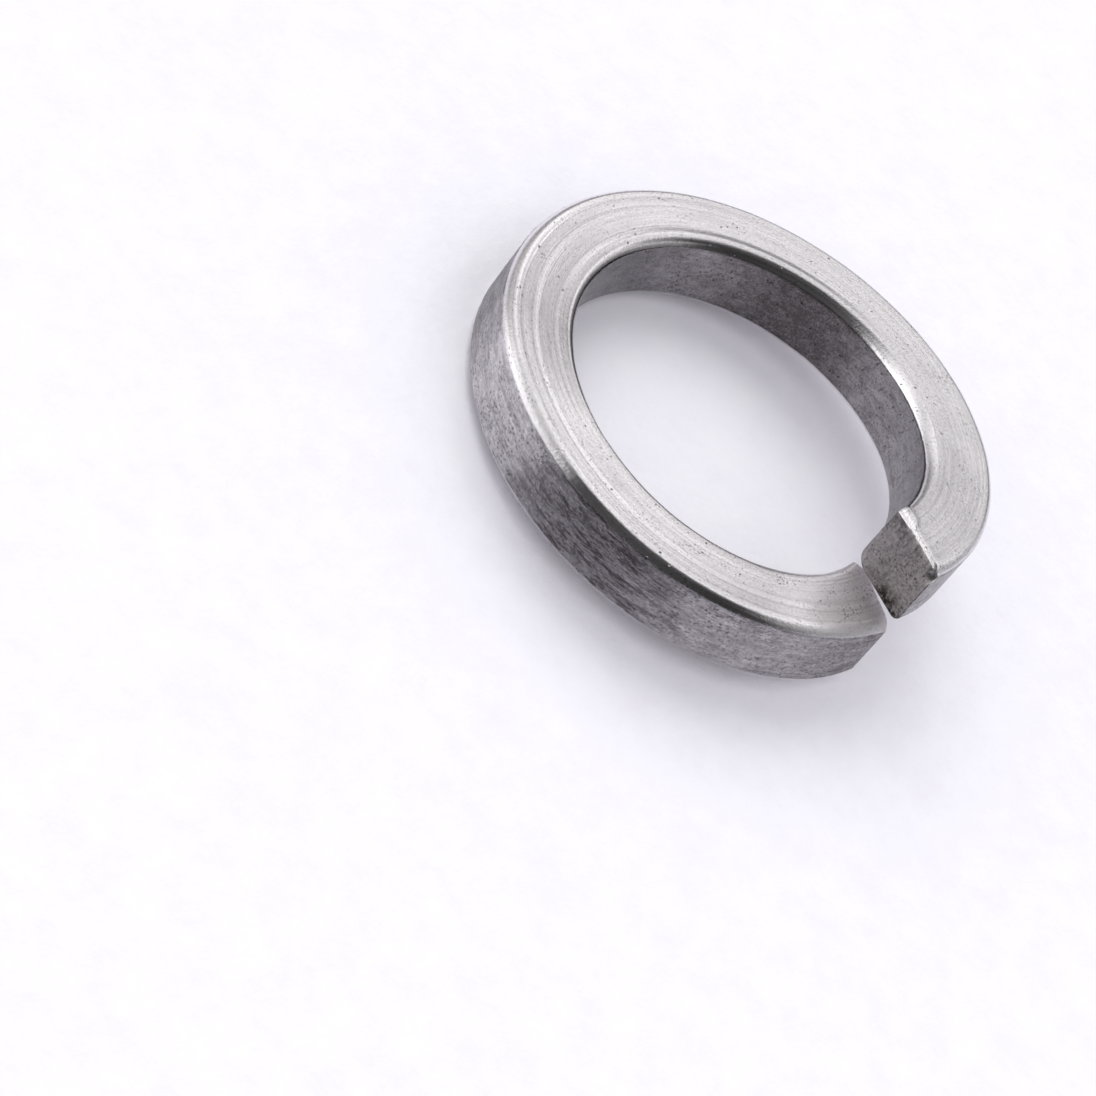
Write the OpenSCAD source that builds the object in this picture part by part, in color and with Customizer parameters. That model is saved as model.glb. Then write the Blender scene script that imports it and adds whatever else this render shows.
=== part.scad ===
// Spring lock washer: one turn of nearly square steel bar, wound left-handed, sheared through at a
// slant and sprung open along its axis. The bolt's axis is Z, the slit faces +X, and the underside
// of the low end lies at Z = 0.

/* [Ring] */
// Diameter of the hole that the bolt passes through
bore_diameter = 12.2; // [6:0.1:30]
// Width of the bar, from the hole to the outside
bar_width = 2.5; // [1.8:0.05:4.5]
// Thickness of the bar along the axis, at its outer wall
bar_height = 2.54; // [1.8:0.02:4.5]
// How much thicker the bar is at the hole, where winding it has squeezed it
bore_side_swell = 0.05; // [0:0.01:0.3]
// Radius of the edges on the outside of the ring
outer_edge_radius = 0.3; // [0.1:0.01:0.4]
// Radius of the edges round the hole
bore_edge_radius = 0.34; // [0.1:0.01:0.4]

/* [Spring] */
// How far the raised end stands above the low end, along the axis
end_lift = 2.74; // [1:0.02:6]
// Width of the slit between the two ends, seen along the axis
slit_width = 0.1; // [0.05:0.01:2]
// Slant of the shear cut, away from the radial direction
cut_slant = 18; // [0:1:35]

/* [Sheared ends] */
// Length of bar that the shear has pressed out of shape at each end
pressed_length = 2; // [1:0.1:5]
// Radius that the shear has pressed on the lower edge of the raised end, at the hole
pressed_edge_radius = 0.52; // [0.3:0.01:0.7]
// Radius of the chipped corners on the outside of each end, and at the hole on the low end
chipped_edge_radius = 0.44; // [0.2:0.01:0.6]
// Radius left on the upper edge of the raised end at the hole, where the shear has sharpened it
sharpened_edge_radius = 0.15; // [0.05:0.01:0.3]
// Height of the burr that stands along the top of the raised end's cut
burr_height = 0.12; // [0:0.01:0.3]
// Width of that burr, measured along the bar
burr_width = 0.3; // [0.1:0.01:0.8]

/* [Drawn surface] */
// Number of score lines that drawing the bar has left round its top face
score_lines = 3; // [1:1:5]
// Width of a score line
score_width = 0.1; // [0.04:0.01:0.2]
// Depth of a score line
score_depth = 0.03; // [0.01:0.005:0.1]
// Height of the shoulder that winding has raised on the top face beside the hole
shoulder_height = 0.04; // [0:0.005:0.1]
// Width of that shoulder
shoulder_width = 0.4; // [0.2:0.01:0.8]

/* [Hidden] */
bore_radius = bore_diameter / 2;
outer_radius = bore_radius + bar_width;
mid_radius = bore_radius + bar_width / 2;
half_slit_turn = slit_width / 2 / (mid_radius * cos(cut_slant)) * 180 / PI;

// The swept bar bulges past both walls by a shallow ridge, which the two true cylinders trim away
arc_stop = 20;
wall_ridge = tan(arc_stop) * bar_height / 2;
trim_margin = 1;
trim_height = end_lift + bar_height + bore_side_swell + 4 * trim_margin;

arc_steps = 4;
end_steps = 10;
ring_steps = 96;

// Polar angle of the slanted cut at a radius, from where the cut crosses the middle of the bar
function slant_turn(radius) = asin(mid_radius * sin(cut_slant) / radius) - cut_slant;

// Length along the middle of the bar, as an angle round the ring
function length_as_turn(length) = length / mid_radius * 180 / PI;
function turn_as_length(turn) = turn * PI / 180 * mid_radius;

// Lean of the top and bottom faces, which part by the swell towards the hole
function lean(radius) = bore_side_swell / 2 * (outer_radius - radius) / bar_width;
function top_at(radius) = bar_height + lean(radius);
function bottom_at(radius) = -lean(radius);

// How strongly the shear has shaped a section, from 1 at the cut to 0 where its effect has faded
function fade(from_cut, length) = max(0, 1 - from_cut / length);
function pressed(plain_radius, pressed_radius, from_cut) =
    plain_radius + (pressed_radius - plain_radius) * pow(fade(from_cut, pressed_length), 2);

function arc(centre, radius, from, to) = [
    for (step = [0 : arc_steps])
        let (angle = from + (to - from) * step / arc_steps)
        centre + radius * [cos(angle), sin(angle)]
];

// Burr on the top face beside the raised end's cut: thin at the outside, a smeared lump at the hole
function burr(radius, from_raised_cut) =
    let (inward = (outer_radius - radius) / bar_width)
    burr_height * (0.5 + 0.7 * inward * inward)
        * pow(fade(from_raised_cut, burr_width * (1 + inward)), 1.5);

// One score line across the top face, as the bank, bed and bank of a shallow groove
function score(radius) = [
    for (side = [1, 0, -1])
        let (edge = radius + side * score_width / 2)
        [edge, top_at(edge) - score_depth * (1 - abs(side))]
];

// Top face between its two rounded edges, from the outside inwards
function top_face() =
    let (
        shoulder_out = bore_radius + bore_edge_radius + shoulder_width,
        shoulder_top = bore_radius + bore_edge_radius + shoulder_width * 0.6,
        first = outer_radius - chipped_edge_radius - score_width,
        spacing = (first - shoulder_out - score_width) / score_lines
    )
    concat(
        [for (line = [0 : score_lines - 1]) each score(first - spacing * line)],
        [
            [shoulder_out, top_at(shoulder_out)],
            [shoulder_top, top_at(shoulder_top) + shoulder_height]
        ]
    );

// Outline of the bar's section, as [radius, height] points, at given lengths from the two cuts
function section(from_low_cut, from_raised_cut) =
    let (
        from_cut = min(from_low_cut, from_raised_cut),
        low_in = pressed(bore_edge_radius, pressed_edge_radius, from_raised_cut),
        chipped_in = pressed(bore_edge_radius, chipped_edge_radius, from_low_cut),
        top_in = pressed(chipped_in, sharpened_edge_radius, from_raised_cut),
        top_out = pressed(outer_edge_radius, chipped_edge_radius, from_cut),
        low_out = pressed(outer_edge_radius, chipped_edge_radius, from_low_cut),
        in_radii = [bore_radius + low_in, bore_radius + top_in],
        out_radii = [outer_radius - low_out, outer_radius - top_out],
        flat = concat(
            arc([in_radii[0], bottom_at(in_radii[0]) + low_in], low_in, 180 + arc_stop, 270),
            arc([out_radii[0], bottom_at(out_radii[0]) + low_out], low_out, 270, 360 - arc_stop),
            [[outer_radius + wall_ridge, bar_height / 2]],
            arc([out_radii[1], top_at(out_radii[1]) - top_out], top_out, arc_stop, 90),
            top_face(),
            arc([in_radii[1], top_at(in_radii[1]) - top_in], top_in, 90, 180 - arc_stop),
            [[bore_radius - wall_ridge, bar_height / 2]]
        )
    )
    [
        for (point = flat)
            let (raised = point[1] > bar_height - score_depth * 2)
            point + [0, raised ? burr(point[0], from_raised_cut) : 0]
    ];

// A section point set on the winding, at an angle round the ring from the low end
function wound(point, turn) =
    let (angle = slant_turn(point[0]) - turn)
    [point[0] * cos(angle), point[0] * sin(angle), point[1] - end_lift * angle / 360];

// Angles round the ring at which sections stand, close together beside the two cuts
low_turn = half_slit_turn;
raised_turn = 360 - half_slit_turn;
pressed_turn = length_as_turn(pressed_length);
turns = concat(
    [for (step = [0 : end_steps]) low_turn + pressed_turn * pow(step / end_steps, 2)],
    [
        for (step = [1 : ring_steps - 1])
            low_turn + pressed_turn + (raised_turn - low_turn - 2 * pressed_turn) * step / ring_steps
    ],
    [for (step = [end_steps : -1 : 0]) raised_turn - pressed_turn * pow(step / end_steps, 2)]
);

rings = [
    for (turn = turns)
        [
            for (point = section(turn_as_length(turn - low_turn), turn_as_length(raised_turn - turn)))
                wound(point, turn)
        ]
];
ring_count = len(rings);
side_count = len(rings[0]);
lowest = min([for (ring = rings) each [for (point = ring) point[2]]]);

// The bar as a loft through its sections, closed by the two flat cuts
module wound_bar() {
    heart = [mid_radius, bar_height / 2];
    low_hub = ring_count * side_count;
    points = concat(
        [for (ring = rings) each ring],
        [wound(heart, low_turn), wound(heart, raised_turn)]
    );
    sides = [
        for (ring = [0 : ring_count - 2], side = [0 : side_count - 1])
            let (
                next = (side + 1) % side_count,
                here = ring * side_count,
                there = here + side_count
            )
            each [
                [here + side, there + side, there + next],
                [here + side, there + next, here + next]
            ]
    ];
    low_cut = [
        for (side = [0 : side_count - 1])
            [low_hub, side, (side + 1) % side_count]
    ];
    raised_cut = [
        for (side = [0 : side_count - 1])
            let (last = (ring_count - 1) * side_count)
            [low_hub + 1, last + (side + 1) % side_count, last + side]
    ];
    polyhedron(points, concat(sides, low_cut, raised_cut), convexity = 6);
}

// The finished washer: the wound bar trimmed to a true bore and a true outside
module washer() {
    color("silver")
    translate([0, 0, -lowest])
    difference() {
        intersection() {
            wound_bar();
            translate([0, 0, -2 * trim_margin])
            cylinder(h = trim_height, r = outer_radius, $fn = 180);
        }
        translate([0, 0, -3 * trim_margin])
        cylinder(h = trim_height + 2 * trim_margin, r = bore_radius, $fn = 180);
    }
}

washer();
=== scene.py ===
"""Spring lock washer: one turn of square steel wire, sheared at a slant, resting on a pale table."""
from math import cos, pi, radians, sin

import bmesh
import bpy
import numpy as np
from mathutils import Matrix, Vector


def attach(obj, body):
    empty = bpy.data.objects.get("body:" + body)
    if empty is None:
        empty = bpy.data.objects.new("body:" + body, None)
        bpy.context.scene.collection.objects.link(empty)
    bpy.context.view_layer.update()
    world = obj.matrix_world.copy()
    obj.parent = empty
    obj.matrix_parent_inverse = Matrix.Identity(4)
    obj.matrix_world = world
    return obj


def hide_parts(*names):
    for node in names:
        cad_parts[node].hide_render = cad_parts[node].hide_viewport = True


MM = 0.001

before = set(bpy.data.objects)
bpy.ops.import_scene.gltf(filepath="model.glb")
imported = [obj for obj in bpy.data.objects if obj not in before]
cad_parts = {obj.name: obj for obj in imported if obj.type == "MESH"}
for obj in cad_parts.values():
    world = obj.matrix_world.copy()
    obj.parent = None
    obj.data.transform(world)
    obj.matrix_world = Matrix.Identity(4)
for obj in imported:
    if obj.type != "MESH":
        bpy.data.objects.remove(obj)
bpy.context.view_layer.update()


# Sizes of the washer in millimetres, all within 0.02 mm of those of its solid
BORE = 6.1
WIDTH = 2.5
HEIGHT = 2.54
SWELL = 0.05
OUTER = BORE + WIDTH
MIDDLE = BORE + WIDTH / 2
TOP_OUTER_EDGE = 0.31
TOP_BORE_EDGE = 0.36
LOW_OUTER_EDGE = 0.3
LOW_BORE_EDGE = 0.34
SHOULDER = 0.036
END_LIFT = 2.74
SLIT = 0.1
CUT_SLANT = radians(18)
PRESSED_LENGTH = 2.0
PRESSED_EDGE = 0.52
CHIPPED_EDGE = 0.46
SHARPENED_EDGE = 0.15

# Rounding of the rim of both cuts, too fine for the solid
RIM = 0.04

# Grooves and ridges that the drawing die left on the top face: radius, depth and half width of each
SCORES = [
    (8.25, -0.012, 0.070),
    (8.07, 0.030, 0.045),
    (7.70, 0.026, 0.040),
    (7.57, -0.014, 0.055),
    (7.42, 0.016, 0.040),
    (7.15, 0.010, 0.040),
    (6.95, 0.010, 0.035),
]

# How finely the bar is drawn: stations along it, points on each edge, on the bottom, the outside, the
# top and the hole side, rings round the rim of a cut, and rings across the cut
STATIONS = 520
EDGE_POINTS = 8
FACE_POINTS = [20, 24, 74, 22]
RIM_RINGS = 5
CUT_RINGS = 12

# Places in the outline, counted from the bottom edge at the hole
TOP_FACE = 2
TOP_EDGE_AT_HOLE = 3

# Degrees short of a quarter turn at which an edge meets a wall
EDGE_STOP = 15

# A noise pattern seldom leaves this span
NOISE_LOW = 0.3
NOISE_HIGH = 0.7


def add(tree, kind, links=None, stops=(), **settings):
    """Adds a node. Links feed its inputs, by name or number, from a value, a socket or a node.
    Stops are the grey levels of a colour ramp, at rising shares."""
    node = tree.nodes.new(kind)
    for name, value in settings.items():
        setattr(node, name, value)
    for key, value in (links or {}).items():
        if isinstance(value, bpy.types.Node):
            value = next(socket for socket in value.outputs if socket.enabled)
        if isinstance(value, bpy.types.NodeSocket):
            tree.links.new(value, node.inputs[key])
        else:
            node.inputs[key].default_value = value
    for place, (share, level) in enumerate(stops):
        ramp = node.color_ramp.elements
        stop = ramp[place] if place < len(ramp) else ramp.new(share)
        stop.position = share
        stop.color = (level, level, level, 1)
    return node


def linear(colour):
    """Turns an sRGB hex colour into linear red, green, blue and alpha."""
    parts = [int(colour[at:at + 2], 16) / 255 for at in (1, 3, 5)]
    return [p / 12.92 if p <= 0.04045 else ((p + 0.055) / 1.055) ** 2.4 for p in parts] + [1.0]


def put_in_scene(name, data):
    """A new object that holds the data."""
    thing = bpy.data.objects.new(name, data)
    bpy.context.scene.collection.objects.link(thing)
    return thing


# Camera, at the photograph's viewpoint, which the washer's outline gave
def place_camera():
    place = Vector((35.275, -108.894, 85.215)) * MM
    aim = Vector((1.777, -10.947, 2.7)) * MM
    roll = Matrix.Rotation(radians(39.043), 3, "Z")
    camera = put_in_scene("camera", bpy.data.cameras.new("camera"))
    turned = (aim - place).to_track_quat("-Z", "Y").to_matrix() @ roll
    camera.matrix_world = Matrix.Translation(place) @ turned.to_4x4()
    camera.data.sensor_width = 36
    camera.data.lens = 145.09
    camera.data.clip_start = 0.005
    camera.data.clip_end = 20
    bpy.context.scene.camera = camera


# The bar before it is wound, in millimetres: its length along X, its radius in the ring along Y, and
# its height along Z. The low end's cut is at 0, the raised end's at the bar's full length.
def smooth(value, low, high):
    """Rises gently from 0 at low to 1 at high."""
    share = np.clip((value - low) / (high - low), 0, 1)
    return share * share * (3 - 2 * share)


def bump_at(value, centre, half_width):
    """A rounded bump, 1 high at its centre."""
    return np.exp(-((value - centre) / half_width) ** 2)


def lean(radius):
    """Half of what the bar has gained in thickness at a radius, where winding squeezed it."""
    return SWELL / 2 * (OUTER - radius) / WIDTH


def pressed(plain, changed, from_cut):
    """A corner's radius, changed by the shear near a cut."""
    return plain + (changed - plain) * np.clip(1 - from_cut / PRESSED_LENGTH, 0, 1) ** 2


def burr(radius, from_raised):
    """Height that the shear left on the top of the raised end: a lip drawn down, a smear at the hole."""
    inward = (OUTER - radius) / WIDTH
    smeared = smooth(inward, 0.60, 0.80)
    lip_width = 0.10 + 0.08 * smeared
    drawn_down = -(0.05 + 0.05 * smeared) * np.clip(1 - from_raised / lip_width, 0, 1) ** 1.4
    reach = 0.12 + 0.25 * smeared
    slope = np.clip(from_raised / reach, 0, 1) * smooth(from_raised, reach + 0.45, reach - 0.05)
    smear = (0.015 + 0.09 * smooth(inward, 0.60, 0.78) + 0.02 * bump_at(inward, 0.7, 0.05)) * slope
    return drawn_down + smear


def shear_shift(radius, height, from_low, from_raised):
    """How far the shear has dragged a point along the bar, close to either cut."""
    inward = (OUTER - radius) / WIDTH
    upward = height / HEIGHT
    overlap = -(0.18 + 0.35 * inward) * np.exp(-from_low / 1.2)
    worn = smooth(inward, 0.80, 1.0) * smooth(upward, 0.5, 1.0)
    worn_corner = 0.35 * worn * np.exp(-from_low / 0.3)
    lag = -0.07 * (1 - inward) * np.exp(-from_raised / 0.6)
    rolled = -0.09 * smooth(upward, 0.95, 1.0) * np.exp(-from_raised / 0.15)
    nicked = bump_at(inward, 0.0, 0.09) * bump_at(upward, 0.87, 0.07)
    nick = -0.26 * nicked * np.exp(-from_raised / 0.12)
    dished = bump_at(inward, 0.45, 0.35) * bump_at(upward, 0.45, 0.35)
    dish = -0.05 * dished * np.exp(-from_raised / 0.1)
    return overlap + worn_corner + lag + rolled + nick + dish


def shoulder(along):
    """Height that winding raised beside the hole: full at the far side, sunk a little at the raised end."""
    return SHOULDER * (0.1 + 0.9 * smooth(along, 14, 23) - 1.5 * smooth(along, 31, 38))


def top_relief(radius, along, length):
    """Height of the top face over a plain one: score lines, and the shoulder beside the hole."""
    crease = 6.83 - 0.24 * smooth(along, length - 12, length - 1)
    raised = shoulder(along) * smooth(radius, crease, crease - 0.27)
    creased = smooth(along, 17, 23) * smooth(along, 35, 30)
    relief = raised - 0.008 * bump_at(radius, crease + 0.01, 0.04) * creased
    scored = 0.04 + 0.66 * bump_at(along, 19.0, 5.5)
    for place, (line, depth, half_width) in enumerate(SCORES):
        drift = 0.012 * np.sin(along / 3.1 + place) + 0.004 * np.sin(along / 0.9 + 2 * place)
        relief = relief - depth * scored * bump_at(radius, line + drift, half_width)
    scuffed = bump_at(along, length - 2.2, 1.4)
    return relief + scuffed * (0.022 * bump_at(radius, 7.80, 0.05) - 0.02 * bump_at(radius, 8.10, 0.05))


def straight(row):
    """The straight line between the first and the last value of each row."""
    return row[:, :1] + (row[:, -1:] - row[:, :1]) * np.linspace(0, 1, row.shape[1])[None, :]


def bar_outline(along, length):
    """Radii and heights of the bar's outline at each station, one row for each station."""
    along = along[:, None]
    from_low, from_raised = along, length - along
    from_cut = np.minimum(from_low, from_raised)
    low_in = pressed(LOW_BORE_EDGE, PRESSED_EDGE, from_raised)
    low_out = pressed(LOW_OUTER_EDGE, CHIPPED_EDGE, from_low)
    # Winding left the upper outer edge rounder about 18 mm along
    rounder = 0.13 * bump_at(along, 18, 5)
    top_out = pressed(TOP_OUTER_EDGE, CHIPPED_EDGE, from_cut) + rounder
    top_in = pressed(TOP_BORE_EDGE, SHARPENED_EDGE, from_cut)
    reach = cos(radians(EDGE_STOP))
    # Each edge: radius of its centre in the ring, its own radius, its centre's side, and its two angles
    corners = [
        (BORE + low_in * reach, low_in, 1, 180 + EDGE_STOP, 270),
        (OUTER - low_out * reach, low_out, 1, 270, 360 - EDGE_STOP),
        (OUTER - top_out * reach, top_out, -1, EDGE_STOP, 90),
        (BORE + top_in * reach, top_in, -1, 90, 180 - EDGE_STOP),
    ]
    # The upper edge at the hole is burnished nearly flat about 37 mm along
    flattened = 0.8 * bump_at(along, 37.5, 3.2)
    arcs = []
    for corner, (centre, size, side, start, end) in enumerate(corners):
        turn = np.radians(np.linspace(start, end, EDGE_POINTS))[None, :]
        level = -lean(centre) if side > 0 else HEIGHT + lean(centre)
        if corner == TOP_EDGE_AT_HOLE:
            level = level + shoulder(along)
        across, upward = centre + size * np.cos(turn), level + side * size + size * np.sin(turn)
        if corner == TOP_EDGE_AT_HOLE:
            across = across + (straight(across) - across) * flattened
            upward = upward + (straight(upward) - upward) * flattened
        arcs.append((across, upward))
    radii, heights = [], []
    for corner, count in enumerate(FACE_POINTS):
        arc_radii, arc_heights = arcs[corner]
        next_radii, next_heights = arcs[(corner + 1) % 4]
        share = (np.arange(count)[None, :] + 1) / (count + 1)
        face_radii = arc_radii[:, -1:] + (next_radii[:, :1] - arc_radii[:, -1:]) * share
        face_heights = arc_heights[:, -1:] + (next_heights[:, :1] - arc_heights[:, -1:]) * share
        if corner == TOP_FACE:
            face_heights = HEIGHT + lean(face_radii) + top_relief(face_radii, along, length)
        radii += [arc_radii, face_radii]
        heights += [arc_heights, face_heights]
    radii = np.concatenate(radii, axis=1)
    heights = np.concatenate(heights, axis=1)
    heights = heights + burr(radii, from_raised) * smooth(heights, HEIGHT * 0.8, HEIGHT)
    return radii, heights


def inset(radii, heights, depth):
    """An outline drawn in towards the bar's heart by a depth, square to itself."""
    across = np.roll(radii, -1) - np.roll(radii, 1)
    upward = np.roll(heights, -1) - np.roll(heights, 1)
    size = np.hypot(across, upward)
    return radii - depth * upward / size, heights + depth * across / size


def cut_rings(along, radii, heights, inwards):
    """Rings of points from the rounded rim of a cut to its middle."""
    rings = []
    # The shear left a broader rim on top of the raised end, and a finer one on top of the low end
    wider_on_top = 0.9 if inwards < 0 else -0.3
    rim = RIM * (1 + wider_on_top * smooth(heights, HEIGHT * 0.9, HEIGHT))
    for turn in np.linspace(0, pi / 2, RIM_RINGS + 1)[1:]:
        drawn_in = inset(radii, heights, rim * (1 - cos(turn)))
        rings.append((along + inwards * RIM * (1 - sin(turn)), *drawn_in))
    rim_radii, rim_heights = rings[-1][1:]
    for share in np.linspace(1, 0, CUT_RINGS + 1)[1:]:
        ring_radii = MIDDLE + (rim_radii - MIDDLE) * share
        rings.append((along, ring_radii, HEIGHT / 2 + (rim_heights - HEIGHT / 2) * share))
    return rings


def straight_bar(length):
    """The bar as a straight mesh, from the low end's cut to the raised end's, and its points."""
    # Stations, twice as close together at the cuts as on average
    share = np.linspace(0, 1, STATIONS)
    along = RIM + (length - 2 * RIM) * (share - 0.5 * np.sin(2 * pi * share) / (2 * pi))
    radii, heights = bar_outline(along, length)
    rings = [(at, radii[row], heights[row]) for row, at in enumerate(along)]
    low = cut_rings(0, radii[0], heights[0], 1)
    raised = cut_rings(length, radii[-1], heights[-1], -1)
    rings = low[::-1] + rings + raised
    around = radii.shape[1]
    points = np.concatenate([np.stack([np.full(around, at), r, h], axis=1) for at, r, h in rings])
    points[:, 0] += shear_shift(points[:, 1], points[:, 2], points[:, 0], length - points[:, 0])
    mesh = bpy.data.meshes.new("washer_steel")
    shape = bmesh.new()
    cut = shape.verts.layers.float.new("cut")
    verts = [shape.verts.new(point * MM) for point in points]
    for place, vert in enumerate(verts):
        ring = place // around
        vert[cut] = float(min(ring, len(rings) - 1 - ring) <= CUT_RINGS)
    for ring in range(len(rings) - 1):
        here, there = ring * around, (ring + 1) * around
        for side in range(around):
            following = (side + 1) % around
            corners = [here + side, here + following, there + following, there + side]
            shape.faces.new([verts[corner] for corner in corners])
    bmesh.ops.remove_doubles(shape, verts=shape.verts, dist=1e-8)
    bmesh.ops.recalc_face_normals(shape, faces=shape.faces)
    for face in shape.faces:
        face.smooth = True
    shape.to_mesh(mesh)
    shape.free()
    return mesh, points


# Winding the bar into a ring, and roughening it as it was handled
def winding_tree():
    tree = bpy.data.node_groups.new("wind_the_bar", "GeometryNodeTree")
    tree.interface.new_socket("Bar", in_out="INPUT", socket_type="NodeSocketGeometry")
    sizes = {}
    for name in (
        "Middle radius", "End lift", "Cut slant", "Slit half turn", "Ground",
        "Line depth", "Pit depth", "Sway", "Seed",
    ):
        socket = tree.interface.new_socket(name, in_out="INPUT", socket_type="NodeSocketFloat")
        sizes[name] = socket.identifier
    socket = tree.interface.new_socket("Steel", in_out="INPUT", socket_type="NodeSocketMaterial")
    sizes["Steel"] = socket.identifier
    tree.interface.new_socket("Washer", in_out="OUTPUT", socket_type="NodeSocketGeometry")
    given = add(tree, "NodeGroupInput").outputs
    place = add(tree, "GeometryNodeInputPosition")
    bar = add(tree, "ShaderNodeVectorMath", {0: place, "Scale": 1 / MM}, operation="SCALE")
    named = add(
        tree, "GeometryNodeStoreNamedAttribute", {"Geometry": given["Bar"], "Name": "bar", "Value": bar},
        data_type="FLOAT_VECTOR", domain="POINT",
    )

    # The angle round the ring, where the cuts slant across it, and the rise that goes with it
    part = add(tree, "ShaderNodeSeparateXYZ", {0: place}).outputs
    slope = add(tree, "ShaderNodeMath", {0: given["Cut slant"]}, operation="SINE")
    reach = add(tree, "ShaderNodeMath", {0: given["Middle radius"], 1: slope}, operation="MULTIPLY")
    ratio = add(tree, "ShaderNodeMath", {0: reach, 1: part["Y"]}, operation="DIVIDE")
    skew = add(tree, "ShaderNodeMath", {0: ratio}, operation="ARCSINE")
    skewed = add(tree, "ShaderNodeMath", {0: skew, 1: given["Cut slant"]}, operation="SUBTRACT")
    turn = add(tree, "ShaderNodeMath", {0: part["X"], 1: given["Middle radius"]}, operation="DIVIDE")
    started = add(tree, "ShaderNodeMath", {0: skewed, 1: given["Slit half turn"]}, operation="SUBTRACT")
    angle = add(tree, "ShaderNodeMath", {0: started, 1: turn}, operation="SUBTRACT")
    cosine = add(tree, "ShaderNodeMath", {0: angle}, operation="COSINE")
    sine = add(tree, "ShaderNodeMath", {0: angle}, operation="SINE")
    wound_x = add(tree, "ShaderNodeMath", {0: part["Y"], 1: cosine}, operation="MULTIPLY")
    wound_y = add(tree, "ShaderNodeMath", {0: part["Y"], 1: sine}, operation="MULTIPLY")
    pitch = add(tree, "ShaderNodeMath", {0: given["End lift"], 1: -2 * pi}, operation="DIVIDE")
    rise = add(tree, "ShaderNodeMath", {0: angle, 1: pitch, 2: part["Z"]}, operation="MULTIPLY_ADD")
    wound_z = add(tree, "ShaderNodeMath", {0: rise, 1: given["Ground"]}, operation="SUBTRACT")
    wound = add(tree, "ShaderNodeCombineXYZ", {"X": wound_x, "Y": wound_y, "Z": wound_z})
    ring = add(tree, "GeometryNodeSetPosition", {"Geometry": named, "Position": wound})

    # Relief along each point's own normal: lines of the die 0.25 mm wide, pits 0.2 mm wide and deepest
    # on the walls, and a slow sway 2 mm wide
    kept = add(tree, "GeometryNodeInputNamedAttribute", {"Name": "bar"}, data_type="FLOAT_VECTOR")
    along_lines = add(tree, "ShaderNodeVectorMath", {0: kept, 1: (0.03, 1.0, 1.0)}, operation="MULTIPLY")
    normal = add(tree, "GeometryNodeInputNormal")
    upright = add(tree, "ShaderNodeSeparateXYZ", {0: normal}).outputs["Z"]
    steep = add(tree, "ShaderNodeMath", {0: upright}, operation="ABSOLUTE")
    wall = add(
        tree, "ShaderNodeMapRange", {"Value": steep, "From Min": 0.9, "From Max": 0.2},
        interpolation_type="SMOOTHSTEP",
    )
    noises = []
    for vector, scale, detail in ((along_lines, 4.0, 2.0), (kept, 4.5, 3.0), (kept, 0.5, 1.0)):
        noise = add(
            tree, "ShaderNodeTexNoise",
            {"Vector": vector, "W": given["Seed"], "Scale": scale, "Detail": detail, "Roughness": 0.6},
            noise_dimensions="4D",
        )
        noises.append(add(tree, "ShaderNodeMath", {0: noise, 1: 0.5}, operation="SUBTRACT"))
    lines = add(tree, "ShaderNodeMath", {0: noises[0], 1: given["Line depth"]}, operation="MULTIPLY")
    pitted = add(tree, "ShaderNodeMath", {0: noises[1], 1: given["Pit depth"]}, operation="MULTIPLY")
    on_walls = add(tree, "ShaderNodeMath", {0: wall, 1: 0.8, 2: 0.2}, operation="MULTIPLY_ADD")
    pits = add(tree, "ShaderNodeMath", {0: pitted, 1: on_walls}, operation="MULTIPLY")
    small = add(tree, "ShaderNodeMath", {0: lines, 1: pits}, operation="ADD")
    relief = add(
        tree, "ShaderNodeMath", {0: noises[2], 1: given["Sway"], 2: small}, operation="MULTIPLY_ADD",
    )
    offset = add(tree, "ShaderNodeVectorMath", {0: normal, "Scale": relief}, operation="SCALE")
    worn = add(tree, "GeometryNodeSetPosition", {"Geometry": ring, "Offset": offset})
    real = add(tree, "GeometryNodeRealizeInstances", {"Geometry": worn})
    steel = add(tree, "GeometryNodeSetMaterial", {"Geometry": real, "Material": given["Steel"]})
    add(tree, "NodeGroupOutput", {"Washer": steel})
    return tree, sizes


def wound_washer(length, steel):
    """The finished washer as a plain mesh."""
    half_turn = SLIT / 2 / (MIDDLE * cos(CUT_SLANT))
    mesh, points = straight_bar(length)
    skew = np.arcsin(MIDDLE * sin(CUT_SLANT) / points[:, 1]) - CUT_SLANT
    rise = -END_LIFT * (skew - half_turn - points[:, 0] / MIDDLE) / (2 * pi)
    ground = (points[:, 2] + rise).min()
    bar = put_in_scene("straight_bar", mesh)
    tree, sizes = winding_tree()
    winding = bar.modifiers.new("winding", "NODES")
    winding.node_group = tree
    for name, value in {
        "Middle radius": MIDDLE * MM, "End lift": END_LIFT * MM, "Cut slant": CUT_SLANT,
        "Slit half turn": half_turn, "Ground": ground * MM, "Line depth": 0.006 * MM,
        "Pit depth": 0.035 * MM, "Sway": 0.03 * MM, "Seed": 4.0, "Steel": steel,
    }.items():
        winding[sizes[name]] = value
    seen = bar.evaluated_get(bpy.context.evaluated_depsgraph_get())
    plain = bpy.data.meshes.new_from_object(seen)
    plain.name = "washer_steel"
    bar.modifiers.clear()
    bpy.data.objects.remove(bar)
    return put_in_scene("washer_steel", plain)


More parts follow.
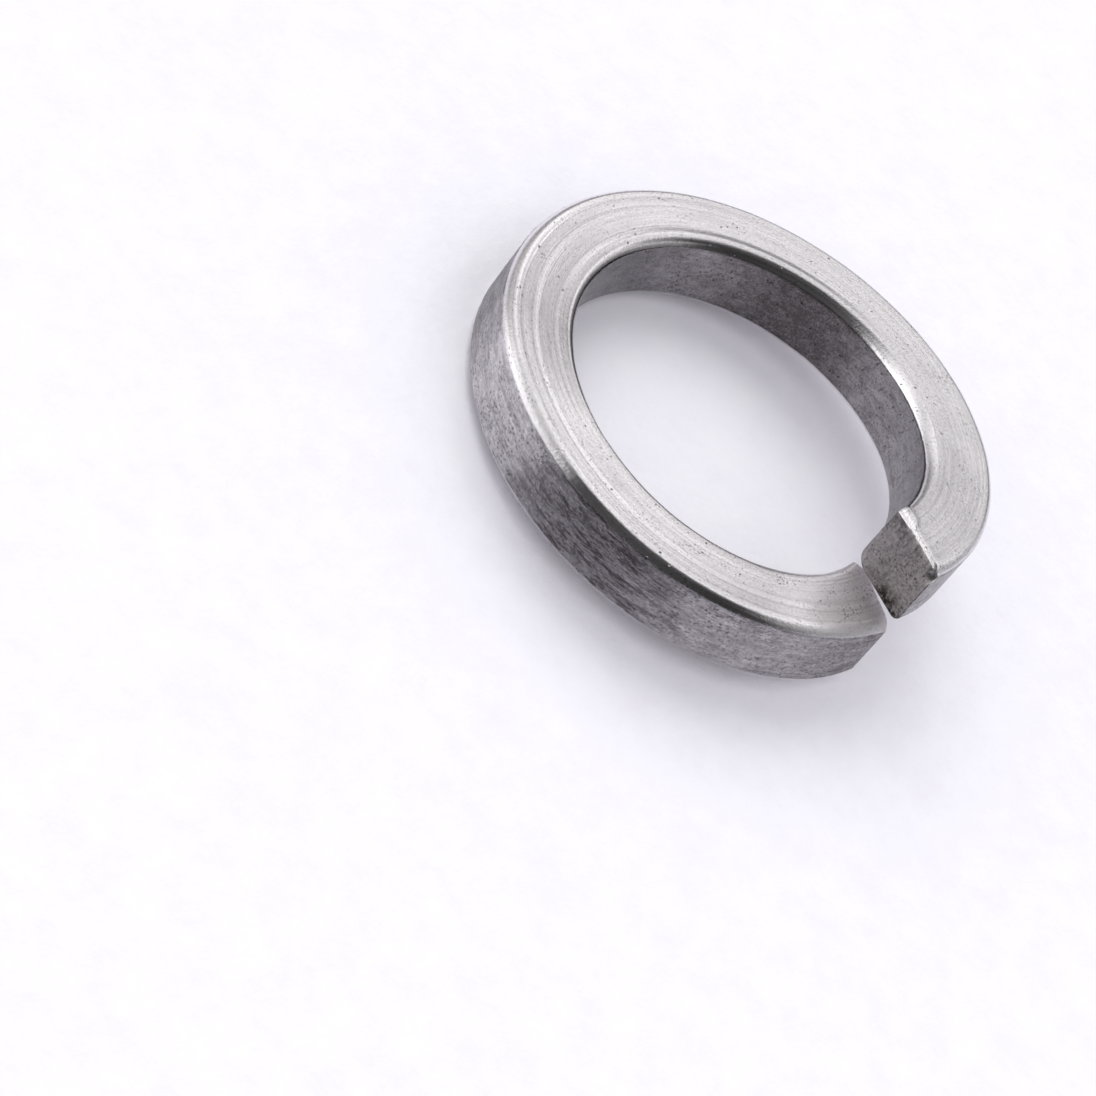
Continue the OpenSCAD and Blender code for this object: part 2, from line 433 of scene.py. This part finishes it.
# Wear and painted light round the ring: grey levels at shares of the bar's length, from the low end to the
# raised end. Several tables mix real wear with painted sheen, painted reflections and painted highlights.
WEAR_AND_PAINTED_LIGHT = {
    # How bright the top face is: rubbing, with painted sheen and painted reflections round the ring
    "face": [
        (0.0, 0.72), (0.04, 1.0), (0.10, 0.46), (0.16, 0.60), (0.29, 0.78), (0.335, 0.60), (0.375, 0.44),
        (0.42, 0.57), (0.50, 0.70), (0.60, 0.62), (0.75, 0.68), (0.80, 0.68), (0.87, 0.65), (0.93, 0.50),
        (1.0, 0.58),
    ],
    # How strongly the grooves of the die show on it, with the painted shade and painted highlights of their
    # lines
    "scored": [
        (0.0, 0.2), (0.05, 0.6), (0.12, 0.5), (0.2, 0.35), (0.3, 0.6), (0.36, 0.8), (0.46, 0.8), (0.51, 0.5),
        (0.58, 0.15), (0.94, 0.1), (1.0, 0.3),
    ],
    # How bright the outer wall and the wall of the hole are: rubbing, with painted reflections and painted
    # shade round the ring
    "outside": [
        (0.0, 0.46), (0.08, 0.55), (0.125, 0.66), (0.17, 0.50), (0.25, 0.60), (0.295, 0.70), (0.335, 0.86),
        (0.37, 0.52), (0.415, 0.05), (0.45, 0.25), (0.52, 0.6), (0.92, 0.4), (0.96, 0.22), (1.0, 0.30),
    ],
    "inside": [
        (0.0, 0.4), (0.48, 0.36), (0.54, 0.30), (0.60, 0.36), (0.64, 0.20), (0.68, 0.04), (0.72, 0.05),
        (0.76, 0.16), (0.79, 0.40), (0.82, 0.44), (0.87, 0.50), (0.92, 0.45), (1.0, 0.28),
    ],
    # Where the outer edge is chattered and dull, and where its colour holds a painted highlight
    "chattered": [
        (0.0, 0.8), (0.08, 0.8), (0.115, 0.0), (0.235, 0.0), (0.26, 1.0), (0.30, 1.0), (0.34, 0.15),
        (0.90, 0.15), (0.95, 0.7), (1.0, 0.7),
    ],
    # Where dark scale stayed on the walls
    "scaled": [
        (0.0, 0.3), (0.13, 0.2), (0.18, 0.9), (0.23, 0.8), (0.28, 0.3), (0.37, 0.4), (0.41, 1.0),
        (0.46, 0.9), (0.52, 0.3), (1.0, 0.4),
    ],
}
# Painted shade in the grooves and at the edge of the hole, and painted highlight on the ridges, across the
# top face by radius in millimetres, where the die scored it
LINE_START = 6
LINE_SPAN = 3
LINE_LEVELS = [
    (6.25, 0.0), (6.40, 0.3), (6.50, 0.36), (6.70, 0.42), (6.78, 0.5), (7.36, 0.5), (7.42, 0.34),
    (7.49, 0.62), (7.57, 0.78), (7.64, 0.6), (7.70, 0.22), (7.76, 0.46), (8.01, 0.44), (8.07, 0.2),
    (8.14, 0.6), (8.24, 0.8), (8.34, 0.54),
]

# Patterns in the steel. Each has a squeeze along the bar and up its height, a scale, which is one over
# its width in millimetres, a detail and a roughness.
PATTERNS = {
    # Lines of the drawing die, many millimetres long; real ones are finer than the 0.1 mm drawn here
    "die_lines": (0.012, 1.0, 10.0, 2.0, 0.6),
    # Flecks that tumbling left along those lines, 0.05 mm wide and twice as long
    "flecks": (0.4, 1.0, 19.0, 3.0, 0.6),
    # Short scratches from tumbling, 0.3 to 0.8 mm long
    "scratches": (0.2, 1.0, 8.0, 4.0, 0.75),
    # Grain of the tumbled surface, 0.04 to 0.1 mm wide
    "grain": (1.0, 1.0, 11.0, 3.0, 0.85),
    # Mottling of the walls, 0.2 to 0.5 mm wide
    "mottling": (0.6, 1.0, 3.2, 4.0, 0.8),
    # Patches that took more or less polish, 1 to 3 mm wide
    "polish": (0.35, 1.0, 0.9, 3.0, 0.6),
    # Streaks of dark scale left on the walls, 0.2 mm wide and 1 mm long
    "streaks": (0.2, 1.0, 5.0, 4.0, 0.8),
    # Where pits crowd, and where specks of dirt do
    "pit_crowds": (1.0, 1.0, 1.3, 2.0, 0.5),
    "dirt_crowds": (0.5, 1.0, 2.2, 2.0, 0.5),
    # Torn metal of the two cuts, 0.15 mm wide, and streaks where the blade slid down from their top
    "torn": (1.0, 1.0, 6.0, 5.0, 0.8),
    "slid": (1.0, 0.12, 9.0, 3.0, 0.7),
}


# Spring steel, cold drawn to a square and wound: satin faces with fine lines along the bar, walls
# greyer and pitted where they slid through the die, edges burnished so that they mirror the room,
# and sheared ends torn dull and dark. Round the ring the colour also holds painted sheen, painted
# reflections and painted highlights, and painted shade and highlights along the die's lines
def drawn_spring_steel(length):
    material = bpy.data.materials.new("drawn_spring_steel")
    material.use_nodes = True
    tree = material.node_tree
    tree.nodes.clear()
    bar = add(tree, "ShaderNodeAttribute", attribute_name="bar").outputs["Vector"]
    along, radius, height = add(tree, "ShaderNodeSeparateXYZ", {0: bar}).outputs
    share = add(tree, "ShaderNodeMath", {0: along, 1: length}, operation="DIVIDE")
    facing = add(tree, "ShaderNodeAttribute", attribute_name="cut").outputs["Fac"]
    normal = add(tree, "ShaderNodeTexCoord").outputs["Normal"]
    upright = add(tree, "ShaderNodeSeparateXYZ", {0: normal}).outputs["Z"]
    steep = add(tree, "ShaderNodeMath", {0: upright}, operation="ABSOLUTE")

    patterns = {}
    for name, (squeeze_along, squeeze_up, scale, detail, roughness) in PATTERNS.items():
        squeeze = (squeeze_along, 1.0, squeeze_up)
        space = add(tree, "ShaderNodeVectorMath", {0: bar, 1: squeeze}, operation="MULTIPLY")
        patterns[name] = add(
            tree, "ShaderNodeTexNoise",
            {"Vector": space, "Scale": scale, "Detail": detail, "Roughness": roughness},
        )
    # The same patterns as gentle swings about nothing, by how far each swings
    swings = {}
    for name, swing in (
        ("die_lines", 0.12), ("scratches", 0.16), ("grain", 0.2), ("mottling", 0.2), ("polish", 0.02),
    ):
        swings[name] = add(
            tree, "ShaderNodeMapRange",
            {
                "Value": patterns[name], "From Min": NOISE_LOW, "From Max": NOISE_HIGH,
                "To Min": -swing, "To Max": swing,
            },
        )
    wear_and_painted_light = {name: add(tree, "ShaderNodeValToRGB", {"Fac": share}, stops) for name, stops in WEAR_AND_PAINTED_LIGHT.items()}

    # Masks, 0 where a measure is at the first number and 1 where it is at the second
    masks = {}
    for name, value, start, full in (
        ("wall", steep, 0.5, 0.2),
        ("flat", steep, 0.975, 0.997),
        ("cut", facing, 0.2, 0.8),
        ("inside", radius, 6.5, 6.2),
        ("low_end", along, 3.2, 0.9),
        # Fresh metal of the lip atop the raised end, lightened as a painted highlight
        ("lip_highlight", along, length - 0.34, length - 0.20),
        ("burnish_start", along, 32, 35),
        ("burnish_end", along, 43, 40),
        ("cut_top", height, 1.3, 2.2),
        ("cut_blade", patterns["slid"], 0.48, 0.60),
        ("corner_low", height, 0.75, 0.2),
        ("corner_outer", radius, 6.9, 7.6),
        ("corner_top", height, 1.7, 2.3),
        ("corner_inner", radius, 6.9, 6.5),
        ("corner_edge", patterns["mottling"], 0.38, 0.55),
    ):
        masks[name] = add(
            tree, "ShaderNodeMapRange", {"Value": value, "From Min": start, "From Max": full},
            interpolation_type="SMOOTHSTEP",
        )
    wall, inside, cut = masks["wall"], masks["inside"], masks["cut"]
    face = add(tree, "ShaderNodeMath", {0: wall, 1: masks["flat"]}, operation="MAXIMUM")
    edge = add(tree, "ShaderNodeMath", {0: 1.0, 1: face}, operation="SUBTRACT")
    outside = add(tree, "ShaderNodeMath", {0: 1.0, 1: inside}, operation="SUBTRACT")
    scuffing = add(tree, "ShaderNodeMath", {0: wall, 1: outside}, operation="MULTIPLY")
    # Chattered outer edge: dull real wear, which also lightens the tone below as a painted highlight
    edge_wear_and_highlight = add(tree, "ShaderNodeMath", {0: edge, 1: outside}, operation="MULTIPLY")
    edge_wear_and_highlight = add(tree, "ShaderNodeMath", {0: edge_wear_and_highlight, 1: wear_and_painted_light["chattered"]}, operation="MULTIPLY")
    # Painted highlight along the burnished upper edge at the hole, 32 to 43 mm along
    burnished_highlight = add(tree, "ShaderNodeMath", {0: edge, 1: inside}, operation="MULTIPLY")
    for end in ("burnish_start", "burnish_end"):
        burnished_highlight = add(tree, "ShaderNodeMath", {0: burnished_highlight, 1: masks[end]}, operation="MULTIPLY")

    # Pits up to 0.15 mm wide, crowded here and scarce there
    spots = add(tree, "ShaderNodeTexVoronoi", {"Vector": bar, "Scale": 3.4, "Randomness": 1.0}, feature="F1")
    crowd = add(
        tree, "ShaderNodeMath", {0: wall, 1: 0.16, 2: patterns["pit_crowds"]}, operation="MULTIPLY_ADD",
    )
    size = add(
        tree, "ShaderNodeMapRange",
        {"Value": crowd, "From Min": 0.45, "From Max": 0.75, "To Min": 0.04, "To Max": 0.24},
    )
    pit = add(tree, "ShaderNodeMapRange", {"Value": spots, "From Min": size, "From Max": 0.02})

    # Specks of dirt 0.03 to 0.06 mm wide, more of them at the low end
    spots = add(tree, "ShaderNodeTexVoronoi", {"Vector": bar, "Scale": 8.0, "Randomness": 1.0}, feature="F1")
    soiled = add(tree, "ShaderNodeMath", {0: masks["low_end"], 1: 0.35, 2: wall}, operation="MULTIPLY_ADD")
    crowd = add(
        tree, "ShaderNodeMath", {0: soiled, 1: 0.16, 2: patterns["dirt_crowds"]}, operation="MULTIPLY_ADD",
    )
    size = add(
        tree, "ShaderNodeMapRange",
        {"Value": crowd, "From Min": 0.42, "From Max": 0.75, "To Min": 0.0, "To Max": 0.5},
    )
    speck = add(
        tree, "ShaderNodeMapRange", {"Value": spots, "From Min": size, "From Max": 0.0, "To Max": 0.9},
    )

    # Painted shade of the grooves and painted highlight of the ridges on the top face, wandering a little
    # round the ring
    across = add(tree, "ShaderNodeMath", {0: radius, 1: swings["polish"]}, operation="ADD")
    across = add(
        tree, "ShaderNodeMapRange",
        {"Value": across, "From Min": LINE_START, "From Max": LINE_START + LINE_SPAN},
    )
    stops = [((at - LINE_START) / LINE_SPAN, level) for at, level in LINE_LEVELS]
    shade = add(tree, "ShaderNodeValToRGB", {"Fac": across}, stops)
    shade = add(tree, "ShaderNodeMath", {0: shade, 1: 0.5}, operation="SUBTRACT")
    shade = add(tree, "ShaderNodeMath", {0: shade, 1: wear_and_painted_light["scored"]}, operation="MULTIPLY")

    # Lightness of the top face, 0 for its darker colour and 1 for its paler one, with painted sheen,
    # reflections, shade and highlights in it
    drawn_share = add(tree, "ShaderNodeMath", {0: wear_and_painted_light["scored"], 1: 0.7}, operation="ADD")
    tone = add(
        tree, "ShaderNodeMath", {0: swings["die_lines"], 1: drawn_share, 2: wear_and_painted_light["face"]},
        operation="MULTIPLY_ADD",
    )
    tone = add(tree, "ShaderNodeMath", {0: tone, 1: shade}, operation="ADD")
    # Painted highlights: the lip, the burnished edge at the hole and the chattered outer edge are lightened
    # in colour
    for cause, gain in ((swings["grain"], 0.8), (masks["lip_highlight"], 0.3), (burnished_highlight, 0.4), (edge_wear_and_highlight, 0.3)):
        tone = add(tree, "ShaderNodeMath", {0: cause, 1: gain, 2: tone}, operation="MULTIPLY_ADD")

    # Lightness of the walls, the hole's evener than the outside, with painted reflections and painted shade
    # round the ring
    wall_rub_and_reflection = add(
        tree, "ShaderNodeMix", {0: inside, 2: wear_and_painted_light["outside"], 3: wear_and_painted_light["inside"]}, data_type="FLOAT",
    )
    rubbed = add(tree, "ShaderNodeMath", {0: swings["scratches"], 1: outside}, operation="MULTIPLY")
    uneven = add(tree, "ShaderNodeMath", {0: swings["mottling"], 1: swings["grain"]}, operation="ADD")
    uneven = add(tree, "ShaderNodeMath", {0: uneven, 1: rubbed}, operation="ADD")
    steadied = add(tree, "ShaderNodeMath", {0: outside, 1: 0.35, 2: 0.65}, operation="MULTIPLY_ADD")
    uneven = add(tree, "ShaderNodeMath", {0: uneven, 1: steadied}, operation="MULTIPLY")
    wall_tone = add(tree, "ShaderNodeMath", {0: wall_rub_and_reflection, 1: uneven}, operation="ADD")

    # Share of scale on the walls, of flecks everywhere, of the blade's streaks on the two cuts, and of the
    # cuts' darker corners
    scaled = add(
        tree, "ShaderNodeMapRange", {"Value": patterns["streaks"], "From Min": 0.48, "From Max": 0.58},
    )
    scaled = add(tree, "ShaderNodeMath", {0: scaled, 1: wear_and_painted_light["scaled"]}, operation="MULTIPLY")
    scaled = add(tree, "ShaderNodeMath", {0: scaled, 1: wall}, operation="MULTIPLY")
    fleck = add(
        tree, "ShaderNodeMapRange",
        {"Value": patterns["flecks"], "From Min": 0.58, "From Max": 0.70, "To Max": 0.4},
    )
    torn = add(
        tree, "ShaderNodeMapRange",
        {"Value": patterns["torn"], "From Min": NOISE_LOW, "From Max": NOISE_HIGH},
    )
    slid = add(tree, "ShaderNodeMath", {0: masks["cut_blade"], 1: masks["cut_top"]}, operation="MULTIPLY")
    slid = add(tree, "ShaderNodeMath", {0: slid, 1: 0.6}, operation="MULTIPLY")
    low_corner = add(
        tree, "ShaderNodeMath", {0: masks["corner_low"], 1: masks["corner_outer"]}, operation="MULTIPLY",
    )
    top_corner = add(
        tree, "ShaderNodeMath", {0: masks["corner_top"], 1: masks["corner_inner"]}, operation="MULTIPLY",
    )
    darker_cut_corners = add(tree, "ShaderNodeMath", {0: top_corner, 1: 0.6, 2: low_corner}, operation="MULTIPLY_ADD")
    darker_cut_corners = add(tree, "ShaderNodeMath", {0: darker_cut_corners, 1: masks["corner_edge"]}, operation="MULTIPLY")
    dirt = add(tree, "ShaderNodeMath", {0: pit, 1: 0.75}, operation="MULTIPLY")
    dirt = add(tree, "ShaderNodeMath", {0: dirt, 1: speck}, operation="MAXIMUM")

    # Colour: bright drawn faces, grey walls, torn cuts, and the dark marks over them
    top, walls, cuts = [
        add(tree, "ShaderNodeMix", {0: amount, 6: linear(dark), 7: linear(pale)}, data_type="RGBA")
        for amount, dark, pale in (
            (tone, "#8f8a8d", "#f6f2f5"), (wall_tone, "#4e4a4c", "#dad6d9"), (torn, "#8a8584", "#cfcac9"),
        )
    ]
    colour = add(tree, "ShaderNodeMix", {0: wall, 6: top, 7: walls}, data_type="RGBA")
    for amount, mark in ((scaled, "#524d4e"), (fleck, "#7d787b")):
        colour = add(tree, "ShaderNodeMix", {0: amount, 6: colour, 7: linear(mark)}, data_type="RGBA")
    # The cuts darken towards their upper inner and lower outer corners
    for amount, mark in ((slid, "#6d6866"), (darker_cut_corners, "#453f3e")):
        cuts = add(tree, "ShaderNodeMix", {0: amount, 6: cuts, 7: linear(mark)}, data_type="RGBA")
    colour = add(tree, "ShaderNodeMix", {0: cut, 6: colour, 7: cuts}, data_type="RGBA")
    colour = add(tree, "ShaderNodeMix", {0: dirt, 6: colour, 7: linear("#544d50")}, data_type="RGBA")

    # Roughness: burnished edges at 0.08, satin faces, and duller cuts, low end and chattered edge
    satin = add(
        tree, "ShaderNodeMapRange",
        {
            "Value": patterns["polish"], "From Min": NOISE_LOW, "From Max": NOISE_HIGH,
            "To Min": 0.20, "To Max": 0.32,
        },
    )
    dull = add(tree, "ShaderNodeMix", {0: face, 2: 0.08, 3: satin}, data_type="FLOAT")
    for cause, gain in ((cut, 0.2), (masks["low_end"], 0.3), (edge_wear_and_highlight, 0.2)):
        dull = add(tree, "ShaderNodeMath", {0: cause, 1: gain, 2: dull}, operation="MULTIPLY_ADD")

    # Relief too fine for the mesh, by its depth in millimetres
    relief = add(tree, "ShaderNodeMath", {0: face, 1: 0.65, 2: 0.35}, operation="MULTIPLY_ADD")
    graining = add(tree, "ShaderNodeMath", {0: face, 1: 0.3, 2: 0.25}, operation="MULTIPLY_ADD")
    graining = add(tree, "ShaderNodeMath", {0: scuffing, 1: 0.45, 2: graining}, operation="MULTIPLY_ADD")
    graining = add(tree, "ShaderNodeMath", {0: graining, 1: edge_wear_and_highlight}, operation="ADD")
    sunk = add(tree, "ShaderNodeMath", {0: 1.0, 1: pit}, operation="SUBTRACT")
    bump = add(
        tree, "ShaderNodeBump",
        {"Height": patterns["die_lines"], "Strength": relief, "Distance": 0.007 * MM},
    )
    for shape, strength, depth in (
        (patterns["scratches"], scuffing, 0.025), (patterns["grain"], graining, 0.02), (sunk, 1.0, 0.02),
    ):
        bump = add(
            tree, "ShaderNodeBump",
            {"Height": shape, "Strength": strength, "Distance": depth * MM, "Normal": bump},
        )
    tangent = add(tree, "ShaderNodeTangent", direction_type="RADIAL", axis="Z")
    shader = add(
        tree, "ShaderNodeBsdfPrincipled",
        {
            "Base Color": colour, "Metallic": 1.0, "Roughness": dull,
            "Anisotropic": 0.5, "Tangent": tangent, "Normal": bump,
        },
    )
    add(tree, "ShaderNodeOutputMaterial", {"Surface": shader})
    return material


# The studio, which isn't part of the washer
def table_plane():
    """Plane of the table: it touches the low end's inner corner and the far side of the ring."""
    up = Vector((0.0982, -0.0419, 0.9943)).normalized()
    distance = 0.599 * MM
    turned = Vector((0, 0, 1)).rotation_difference(up).to_matrix()
    return Matrix.Translation(up * distance) @ turned.to_4x4()


def set_up(name, shape, material_name):
    """An object of the studio and its material, still empty."""
    mesh = bpy.data.meshes.new(name)
    shape.to_mesh(mesh)
    shape.free()
    thing = put_in_scene(name, mesh)
    material = bpy.data.materials.new(material_name)
    material.use_nodes = True
    material.node_tree.nodes.clear()
    mesh.materials.append(material)
    return thing, material


# White paper: matt and uncoated, a little lavender, with soft fibres and creases about 1.4 mm wide
def lay_floor():
    shape = bmesh.new()
    bmesh.ops.create_grid(shape, x_segments=8, y_segments=8, size=2.0)
    bmesh.ops.transform(shape, matrix=table_plane(), verts=shape.verts)
    floor, material = set_up("floor", shape, "white_paper")
    tree = material.node_tree
    place = add(tree, "ShaderNodeTexCoord").outputs["Object"]
    fibres = add(
        tree, "ShaderNodeTexNoise", {"Vector": place, "Scale": 700.0, "Detail": 4.0, "Roughness": 0.7},
    )
    tone = add(tree, "ShaderNodeMapRange", {"Value": fibres, "From Min": NOISE_LOW, "From Max": NOISE_HIGH})
    tint = add(
        tree, "ShaderNodeMix", {0: tone, 6: linear("#f6f5f9"), 7: linear("#fbfbfd")}, data_type="RGBA",
    )
    creases = add(tree, "ShaderNodeBump", {"Height": fibres, "Strength": 0.5, "Distance": 0.12 * MM})
    paper = add(tree, "ShaderNodeBsdfDiffuse", {"Color": tint, "Normal": creases})
    add(tree, "ShaderNodeOutputMaterial", {"Surface": paper})
    return floor


# Brightness of the tent's cloth at compass angles in degrees, low down, on its walls and in its roof
TENT_LEVELS = [
    [
        (-180, 0.9), (-170, 1.3), (-125, 1.5), (-114, 0.7), (-106, 0.10), (-20, 0.05), (0, 0.08), (12, 0.2),
        (30, 0.3), (60, 0.3), (105, 0.25), (140, 0.3), (165, 0.6),
    ],
    [
        (-180, 0.9), (-170, 1.3), (-130, 1.45), (-116, 0.7), (-106, 0.10), (-20, 0.05), (0, 0.06),
        (10, 0.15), (22, 0.5), (60, 0.8), (85, 1.5), (112, 1.4), (130, 1.25), (165, 0.75),
    ],
    [
        (-180, 1.1), (-150, 0.9), (-130, 0.35), (-112, 0.08), (-20, 0.05), (20, 0.06), (50, 0.10), (70, 0.2),
        (100, 0.42), (125, 0.7), (150, 0.9), (175, 1.1),
    ],
]


# Tent of white cloth round the table, which only the metal mirrors: lit at the left and behind, and
# dark on the camera's side
def raise_tent():
    shape = bmesh.new()
    bmesh.ops.create_uvsphere(shape, u_segments=48, v_segments=24, radius=2.5)
    bmesh.ops.reverse_faces(shape, faces=shape.faces)
    tent, material = set_up("tent", shape, "lit_tent_cloth")
    tent.visible_camera = False
    tent.visible_shadow = False
    tent.visible_diffuse = False
    material.cycles.emission_sampling = "NONE"
    tree = material.node_tree
    place = add(tree, "ShaderNodeTexCoord").outputs["Object"]
    toward = add(tree, "ShaderNodeVectorMath", {0: place}, operation="NORMALIZE")
    part = add(tree, "ShaderNodeSeparateXYZ", {0: toward}).outputs
    compass = add(tree, "ShaderNodeMath", {0: part["Y"], 1: part["X"]}, operation="ARCTAN2")
    share = add(tree, "ShaderNodeMath", {0: compass, 1: 0.5 / pi, 2: 0.5}, operation="MULTIPLY_ADD")
    low, walls, roof = [
        add(tree, "ShaderNodeValToRGB", {"Fac": share}, [(at / 360 + 0.5, level) for at, level in levels])
        for levels in TENT_LEVELS
    ]
    level = low
    for start, full, above in ((0.25, 0.58, walls), (0.68, 0.83, roof), (0.88, 0.97, linear("#595959"))):
        height = add(
            tree, "ShaderNodeMapRange", {"Value": part["Z"], "From Min": start, "From Max": full},
            interpolation_type="SMOOTHSTEP",
        )
        level = add(tree, "ShaderNodeMix", {0: height, 6: level, 7: above}, data_type="RGBA")
    glow = add(tree, "ShaderNodeEmission", {"Color": level, "Strength": 1.0})
    add(tree, "ShaderNodeOutputMaterial", {"Surface": glow})
    return tent


# Mat at the camera's side of the washer, which only the metal mirrors: dark far out, paler close in
def lay_mat():
    shape = bmesh.new()
    rings = []
    for reach in (9.3, 12.0, 20.0, 60.0, 400.0):
        turns = [radians(turn) for turn in range(-104, 9, 4)]
        corners = [(reach * MM * cos(turn), reach * MM * sin(turn), 0.05 * MM) for turn in turns]
        rings.append([shape.verts.new(corner) for corner in corners])
    for inner, outer in zip(rings, rings[1:]):
        for step in range(len(inner) - 1):
            shape.faces.new([inner[step], outer[step], outer[step + 1], inner[step + 1]])
    bmesh.ops.transform(shape, matrix=table_plane(), verts=shape.verts)
    mat, material = set_up("mat", shape, "dark_mat")
    mat.visible_camera = False
    mat.visible_diffuse = False
    mat.visible_shadow = False
    mat.visible_transmission = False
    tree = material.node_tree
    place = add(tree, "ShaderNodeTexCoord").outputs["Object"]
    away = add(tree, "ShaderNodeVectorMath", {0: place}, operation="LENGTH")
    part = add(tree, "ShaderNodeSeparateXYZ", {0: place}).outputs
    compass = add(tree, "ShaderNodeMath", {0: part["Y"], 1: part["X"]}, operation="ARCTAN2")
    near, far = [
        add(
            tree, "ShaderNodeMapRange",
            {
                "Value": compass, "From Min": radians(start), "From Max": radians(end),
                "To Min": dark, "To Max": pale,
            },
        )
        for start, end, dark, pale in ((-75, -40, 0.36, 0.85), (-14, 8, 0.06, 0.35))
    ]
    level = add(
        tree, "ShaderNodeMapRange",
        {"Value": away, "From Min": 15 * MM, "From Max": 20 * MM, "To Min": near, "To Max": far},
    )
    glow = add(tree, "ShaderNodeEmission", {"Color": linear("#f8f4ff"), "Strength": level})
    add(tree, "ShaderNodeOutputMaterial", {"Surface": glow})
    return mat


def hang_lamp():
    """One large soft window, above and to the left, which the metal doesn't mirror."""
    lamp = bpy.data.lights.new("window", "SUN")
    lamp.energy = 1.02
    lamp.angle = radians(45)
    window = put_in_scene("window", lamp)
    window.rotation_euler = Vector((-0.53, 0.31, 0.79)).to_track_quat("Z", "Y").to_euler()
    window.visible_glossy = False


def white_world():
    world = bpy.data.worlds.new("white")
    bpy.context.scene.world = world
    world.use_nodes = True
    tree = world.node_tree
    tree.nodes.clear()
    sky = add(tree, "ShaderNodeBackground", {"Color": linear("#f6f4fb"), "Strength": 0.90})
    add(tree, "ShaderNodeOutputWorld", {"Surface": sky})


place_camera()
bar_length = 2 * pi * MIDDLE - SLIT / cos(CUT_SLANT)
washer = wound_washer(bar_length, drawn_spring_steel(bar_length))
floor = lay_floor()
tent = raise_tent()
mat = lay_mat()
hang_lamp()
white_world()
bpy.context.scene.view_settings.view_transform = "Standard"

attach(washer, "root")
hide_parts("washer")
